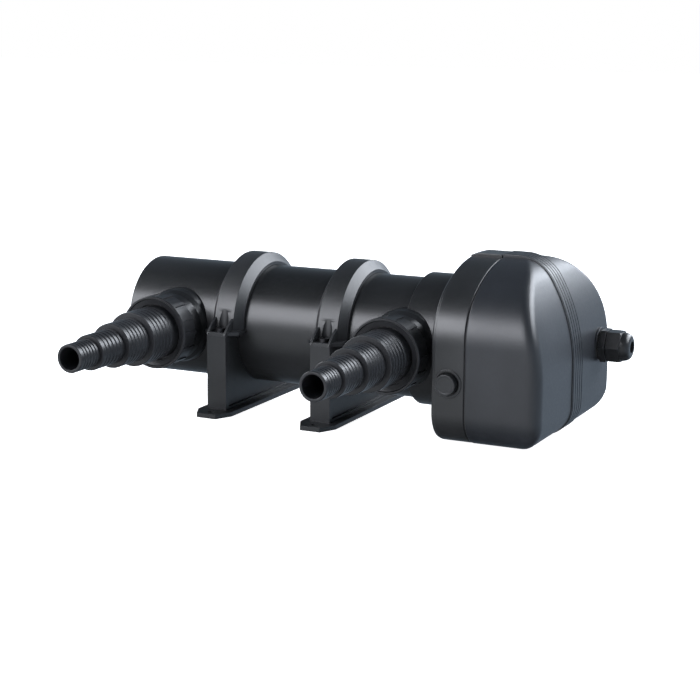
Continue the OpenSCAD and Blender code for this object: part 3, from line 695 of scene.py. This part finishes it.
def make_bands():
    """Grooved band over the cover, and the plain strip that carries it on over the base."""
    band = sweep("cover_band", cover_stations(), band_section(GROOVES))
    shade(band, 40)
    finish_piece(band, "head", MATERIALS["head_plastic"])
    rise = [(HEAD_X + 1.2, 0.15), (HEAD_X + 2.4, 0.5), (HEAD_X + 6.0, 1.35),
            (HEAD_X + 7.4, 1.56), (HEAD_X + 9, BAND_H), (BASE_FRONT - 0.5, BAND_H),
            (BASE_FRONT - 0.15, BAND_H - 0.15), (BASE_FRONT, BAND_H - 0.5)]
    stations = [(x, BASE_TOP + height, 0.0, 1.0) for x, height in rise]
    strip = sweep("base_band", stations, band_section([]))
    shade(strip, 40)
    finish_piece(strip, "head", BASE_PLASTIC)


# Rounded edges of the base: distance from its back or its front, and inset from the outline.
BACK_EDGE = [(0, 3.0), (0.12, 1.9), (0.5, 1.15), (1.1, 0.72), (1.7, 0.55), (2.5, 0.5),
             (2.62, 0.2), (2.9, 0.05), (3.3, 0.0), (8, 0.0), (14, 0.0)]
FRONT_EDGE = [(1.0, 0.0), (0.5, 0.12), (0.2, 0.35), (0.04, 0.7), (0, 1.0), (0, SHELL)]


def spigot_profile():
    """Bulkhead, sleeve seat, spigot with O-ring grooves and collar pocket, as (x, radius)."""
    cup_r = POCKET_R + SHELL
    profile = [(HEAD_X + SHELL, cup_r), (BULKHEAD_X, cup_r), (BULKHEAD_X, CLAMP_SEAT_R),
               (CLAMP_SEAT_X, CLAMP_SEAT_R), (CLAMP_SEAT_X, SLEEVE_HOLE_R),
               (SLEEVE_STOP_X, SLEEVE_HOLE_R), (SLEEVE_STOP_X, SPIGOT_BORE_R),
               (SPIGOT_TIP + 0.3, SPIGOT_BORE_R), (SPIGOT_TIP, SPIGOT_BORE_R + 0.3),
               (SPIGOT_TIP, SPIGOT_R - 0.8), (SPIGOT_TIP + 0.8, SPIGOT_R)]
    for x in ORING_SPOTS:
        low, high = x - ORING_HALF, x + ORING_HALF
        profile += [(low, SPIGOT_R), (low, ORING_FLOOR_R), (high, ORING_FLOOR_R),
                    (high, SPIGOT_R)]
    return profile + [(BAYONET_X, SPIGOT_R), (BAYONET_X, BAYONET_BED_R - 0.4),
                      (BAYONET_X + 0.4, BAYONET_BED_R), (POCKET_X, BAYONET_BED_R),
                      (POCKET_X, POCKET_R), (HEAD_X + 0.7, POCKET_R),
                      (HEAD_X + 0.2, POCKET_R + 0.2), (HEAD_X, POCKET_R + 0.7)]


def base_loops():
    """Rings of the base's whole skin: back lip, wall, rim, inside, spigot and collar pocket."""
    edge = lambda inset: outline_radius(inset, BASE_HALF, BASE_TOP)
    loops = [ring(HEAD_X + x, edge(inset)) for x, inset in BACK_EDGE]
    loops += [ring(BASE_FRONT - x, edge(inset)) for x, inset in FRONT_EDGE]
    loops.append(ring(HEAD_X + SHELL, edge(SHELL)))
    return loops + [ring(x, np.full(len(ANGLES), float(r))) for x, r in spigot_profile()]


def cylinder_cutter(start, axis, length, r):
    """A closed cylinder from a start point, along the chamber (+X) or a port (-Y).

    A negative length runs the other way.
    """
    begin = start[0] if axis == "chamber" else -start[1]
    profile = [(0, begin), (r, begin), (r, length + begin), (0, length + begin)]
    return lathe("cutter", profile, axis, start, 64)


def block_cutter(x0, x1, r0, r1, half, angle):
    """A box that stands out from the chamber axis at an angle from +Y."""
    a = math.radians(angle)
    verts = []
    for x in (x0, x1):
        for r, w in ((r0, -half), (r1, -half), (r1, half), (r0, half)):
            verts.append((x, r * math.cos(a) - w * math.sin(a),
                          AXIS_Z + r * math.sin(a) + w * math.cos(a)))
    faces = [(0, 1, 2, 3), (4, 5, 6, 7), (0, 1, 5, 4), (1, 2, 6, 5), (2, 3, 7, 6), (3, 0, 4, 7)]
    return mesh_object("cutter", verts, faces)


def make_base():
    """Base shell with its bayonet key slots, screw holes and button hole."""
    base = loop_grid("base_shell", base_loops())
    cutters = [block_cutter(KEY_FROM, POCKET_X - 0.02, KEY_LOW_R, KEY_HIGH_R, KEY_HALF, angle)
               for angle in KEY_ANGLES]
    cutters += [cylinder_cutter((HEAD_X - 1, y, z), "chamber", SHELL + 0.8, SCREW_HOLE_R)
                for y, z in SCREW_SPOTS]
    button_start = (BUTTON_X, -HEAD_HALF - 3, BUTTON_Z)
    cutters.append(cylinder_cutter(button_start, "port", -BUTTON_HOLE_DEPTH, BUTTON_HOLE_R))
    carve(base, cutters)
    shade(base, 35)
    finish_piece(base, "head", BASE_PLASTIC, ["head_base"])


def make_button():
    """Lock button with its flange and stem, and the ring round it."""
    face, step = -BUTTON_LOW[1], BUTTON_STEP
    origin = (BUTTON_X, 0, BUTTON_Z)
    flange = step + 2.6
    profile = [(0, step - BUTTON_STEM, 0), (BUTTON_STEM_R, step - BUTTON_STEM),
               (BUTTON_STEM_R, step), (BUTTON_FLANGE_R, step, 0.2), (BUTTON_FLANGE_R, flange, 0.2),
               (BUTTON_R, flange, 0.1), (BUTTON_R, face, 1.3), (6.1, face - 0.05, 0.3),
               (5.7, face - 0.25, 0.3), (0, face - 0.25, 0)]
    button = lathe("button_cap", softened_profile(profile, 0.3, 4), "port", origin, 96)
    shade(button, 40)
    finish_piece(button, "button", MATERIALS["trim_plastic"], ["lock_button"])
    outer, inner, ledge = -BASE_LOW[1], step + 2.9, step + 5.2
    bezel = [(BEZEL_R, inner), (BEZEL_R, outer, 0.35), (BEZEL_MOUTH_R, outer, 0.35),
             (BEZEL_MOUTH_R, ledge, 0.1), (BEZEL_BORE_R, ledge, 0.1), (BEZEL_BORE_R, inner)]
    bezel = lathe("button_bezel", softened_profile(bezel, 0.1, 4), "port", origin, 96)
    shade(bezel, 40)
    finish_piece(bezel, "head", BASE_PLASTIC)


def make_spring():
    """The button's coil spring, a copy of the CAD node's mesh with its own material, riding on the
    head.
    """
    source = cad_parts["button_spring"].data
    verts = [tuple(c / MM for c in v.co) for v in source.vertices]
    spring = mesh_object("button_coil", verts, [tuple(p.vertices) for p in source.polygons])
    shade(spring, 50)
    finish_piece(spring, "head", MATERIALS["screw_steel"], ["button_spring"])
    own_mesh(spring)


def make_gland_pad():
    """Round pad under the gland, standing a little out of the end face."""
    back, front = END_X - PAD_DEPTH, GLAND_LOW[0]
    profile = [(PAD_HOLE_R, back), (PAD_R, back), (PAD_R, front, 0.25), (PAD_HOLE_R, front)]
    pad = lathe("gland_pad", softened_profile(profile, 0, 3), "chamber", (0, GLAND_Y, GLAND_Z), 96)
    shade(pad, 40)
    finish_piece(pad, "head", MATERIALS["head_plastic"])


# ---------------------------------------------------------------- hose tails

# Steps as (radius, start, end), and other outlines as (radius, distance from the chamber axis).
# A third number in an outline's point is its own rounding.
STEPS = [(20.3, 79, 108), (16.4, 108, 135), (12.9, 135, 163), (10.4, 163, 186)]
TOOTH, TEETH, LAND = 0.8, 5, 4.5
TAIL_FLANGE = [(16, 69.5), (23.6, 69.5), (23.6, 72.7), (20, 72.7)]
TAIL_BORE = [(8, 186, 0.7), (8, 157), (10.2, 150), (10.2, 128), (13.4, 120), (13.4, 101), (16, 93)]


def step_profile(r, back, front, following):
    """One step's barbs, its plain land and its end, down to the next step's radius."""
    land = front - LAND
    pitch = (land - back - 1) / TEETH
    profile = []
    for i in range(TEETH):
        start = back + 1 + i * pitch
        profile += [(r - TOOTH, start, 0.2), (r, start + 0.25 * pitch, 0.3),
                    (r - 0.1, start + 0.78 * pitch, 0.3)]
    profile += [(r - TOOTH, land, 0.2), (r, land + 0.45, 0.35)]
    if following is None:
        return profile + [(r, front, 1.3)]
    return profile + [(r, front, 0.8), (following - TOOTH, front, 0.3)]


def tail_profile():
    """Closed outline of the whole hose tail."""
    profile = list(TAIL_FLANGE)
    followers = [step[0] for step in STEPS[1:]] + [None]
    for step, following in zip(STEPS, followers):
        profile += step_profile(*step, following)
    return profile + TAIL_BORE


def make_tails():
    """The two stepped hose tails."""
    outline = softened_profile(tail_profile(), 0.25, 3)
    for port in ("inlet", "outlet"):
        low, high = box_mm(port + "_tail")
        origin = ((low[0] + high[0]) / 2, 0, AXIS_Z)
        tail = lathe(port + "_hose_tail", outline, "port", origin, 144)
        shade(tail, 22)
        finish_piece(tail, port + "_hose_tail", MATERIALS["tail_plastic"],
                     [port + "_tail"])


# ---------------------------------------------------------------- softened CAD shapes


def make_softened():
    """Pieces that keep their CAD shape, with rounded edges of the given width."""
    rows = [("rear_saddle", "saddle_plastic", "housing", 0.5),
            ("front_saddle", "saddle_plastic", "housing", 0.5),
            ("rear_strap", "saddle_plastic", "housing", 0.45),
            ("front_strap", "saddle_plastic", "housing", 0.45),
            ("inlet_nut", "nut_plastic", "inlet_union_nut", 0.2),
            ("outlet_nut", "nut_plastic", "outlet_union_nut", 0.2),
            ("gland_body", "gland_plastic", "head", 0.4),
            ("gland_nut", "gland_plastic", "gland_cap", 0.4)]
    for node, slot, body, width in rows:
        piece = softened_node(node, node + "_part", width)
        material = STRAP_PLASTIC if node.endswith("strap") else MATERIALS[slot]
        finish_piece(piece, body, material, [node])


# ---------------------------------------------------------------- stage

LIGHT_TARGET, LIGHT_DISTANCE = (0.03, 0.0, 0.06), 2.2
FLOOR_HALF, FLOOR_GLOW = 6000.0, 0.92
SIDE_DIM, SIDE_LIT, LIT_SIDE = (0.50, 0.62, 0.76), (0.98, 1.02, 1.08), (-0.5, -0.866, 0.0)
CAMERA_LENS, CAMERA_PLACE = 88.44, (0.6008, -1.15235, 0.3074)
CAMERA_TURN = (78.4261, -0.2807, 26.1844)
# Height of the direction, from straight down to straight up, and the glow there.
SKY_STOPS = [(-1.0, 0.05), (-0.87, 0.06), (-0.74, 0.14), (-0.59, 0.4), (-0.38, 0.8), (-0.2, 1.0),
             (0.0, 0.9), (0.15, 0.6), (0.4, 0.3), (0.7, 0.14), (1.0, 0.09)]


def make_floor():
    """Plain pale floor with a glow of its own, which doesn't show in reflections."""
    h = FLOOR_HALF
    verts = [(-h, -h, 0), (h, -h, 0), (h, h, 0), (-h, h, 0)]
    floor = mesh_object("floor", verts, [(0, 1, 2, 3)])
    n = Nodes("floor")
    n.use("Base Color", (0.85, 0.85, 0.85))
    n.use("Roughness", 0.8)
    n.use("Emission Color", (1.0, 1.0, 1.0))
    n.use("Emission Strength", FLOOR_GLOW)
    floor.data.materials.append(n.material)
    floor.visible_glossy = False


def soft_light(name, azimuth, elevation, wide, high, radiance, colour):
    """A soft box seen from the object: its direction and half its width and height in degrees."""
    a, e = math.radians(azimuth), math.radians(elevation)
    toward = Vector((math.cos(e) * math.cos(a), math.cos(e) * math.sin(a), math.sin(e)))
    data = bpy.data.lights.new(name, "AREA")
    data.shape = "RECTANGLE"
    data.size = 2 * LIGHT_DISTANCE * math.tan(math.radians(wide))
    data.size_y = 2 * LIGHT_DISTANCE * math.tan(math.radians(high))
    data.energy = radiance * math.pi * data.size * data.size_y
    data.color = colour
    lamp = bpy.data.objects.new(name, data)
    bpy.context.scene.collection.objects.link(lamp)
    lamp.location = Vector(LIGHT_TARGET) + toward * LIGHT_DISTANCE
    lamp.rotation_euler = (-toward).to_track_quat("-Z", "Y").to_euler()


def sky_ramp(tree, height):
    """Glow by height: dark below, pale at the horizon, dark above."""
    ramp = tree.nodes.new("ShaderNodeValToRGB")
    elements = ramp.color_ramp.elements
    elements[0].position, elements[1].position = 0.0, 1.0
    for position, _ in SKY_STOPS[1:-1]:
        elements.new((position + 1) / 2)
    for element, (_, value) in zip(elements, SKY_STOPS):
        element.color = (value, value, value, 1)
    unit = tree.nodes.new("ShaderNodeMapRange")
    unit.inputs[1].default_value, unit.inputs[2].default_value = -1.0, 1.0
    tree.links.new(height, unit.inputs[0])
    tree.links.new(unit.outputs[0], ramp.inputs[0])
    return ramp.outputs[0]


def side_tint(tree, direction):
    """Colour by compass side: pale in front on the left, bluish and dimmer behind."""
    dot = tree.nodes.new("ShaderNodeVectorMath")
    dot.operation = "DOT_PRODUCT"
    dot.inputs[1].default_value = LIT_SIDE
    tree.links.new(direction, dot.inputs[0])
    share = tree.nodes.new("ShaderNodeMapRange")
    share.interpolation_type = "SMOOTHSTEP"
    share.inputs[1].default_value, share.inputs[2].default_value = -0.2, 0.9
    tree.links.new(dot.outputs["Value"], share.inputs[0])
    mix = tree.nodes.new("ShaderNodeMix")
    mix.data_type = "RGBA"
    mix.inputs[6].default_value = (*SIDE_DIM, 1)
    mix.inputs[7].default_value = (*SIDE_LIT, 1)
    tree.links.new(share.outputs[0], mix.inputs[0])
    return mix.outputs[2]


def make_world():
    """Studio surroundings: pale horizon, dark ceiling. The camera itself sees plain white."""
    world = bpy.data.worlds.new("studio")
    bpy.context.scene.world = world
    world.use_nodes = True
    tree = world.node_tree
    tree.nodes.clear()
    out = tree.nodes.new("ShaderNodeOutputWorld")
    direction = tree.nodes.new("ShaderNodeTexCoord").outputs["Generated"]
    split = tree.nodes.new("ShaderNodeSeparateXYZ")
    tree.links.new(direction, split.inputs[0])
    tint = tree.nodes.new("ShaderNodeMix")
    tint.data_type, tint.blend_type = "RGBA", "MULTIPLY"
    tint.inputs[0].default_value = 1.0
    tree.links.new(sky_ramp(tree, split.outputs[2]), tint.inputs[6])
    tree.links.new(side_tint(tree, direction), tint.inputs[7])
    light = tree.nodes.new("ShaderNodeBackground")
    tree.links.new(tint.outputs[2], light.inputs[0])
    plain = tree.nodes.new("ShaderNodeBackground")
    plain.inputs[0].default_value = (1, 1, 1, 1)
    path = tree.nodes.new("ShaderNodeLightPath")
    mix = tree.nodes.new("ShaderNodeMixShader")
    tree.links.new(path.outputs["Is Camera Ray"], mix.inputs[0])
    tree.links.new(light.outputs[0], mix.inputs[1])
    tree.links.new(plain.outputs[0], mix.inputs[2])
    tree.links.new(mix.outputs[0], out.inputs[0])


def make_camera():
    """Camera at the photograph's viewing angle."""
    data = bpy.data.cameras.new("camera")
    data.sensor_width = 36
    data.lens = CAMERA_LENS
    camera = bpy.data.objects.new("camera", data)
    bpy.context.scene.collection.objects.link(camera)
    camera.location = CAMERA_PLACE
    camera.rotation_euler = [math.radians(angle) for angle in CAMERA_TURN]
    bpy.context.scene.camera = camera


def make_lights():
    """Two large soft boxes, a rim light and a low light on the gland's side."""
    soft_light("front_left", -117, 26, 22, 13.5, 9.5, (0.97, 0.99, 1.06))
    soft_light("right_high", 36, 37, 30, 15, 10.5, (0.95, 1.0, 1.08))
    soft_light("left_rim", 190, 28, 12, 12, 6.0, (0.97, 1.0, 1.05))
    soft_light("right_low", 73, 17, 10, 7, 7.0, (0.93, 1.0, 1.1))


make_camera()
make_floor()
make_world()
make_lights()
dress_cad_nodes()
make_cover()
make_bands()
make_base()
make_button()
make_spring()
make_gland_pad()
make_tails()
make_softened()
bpy.context.scene.view_settings.view_transform = "Standard"
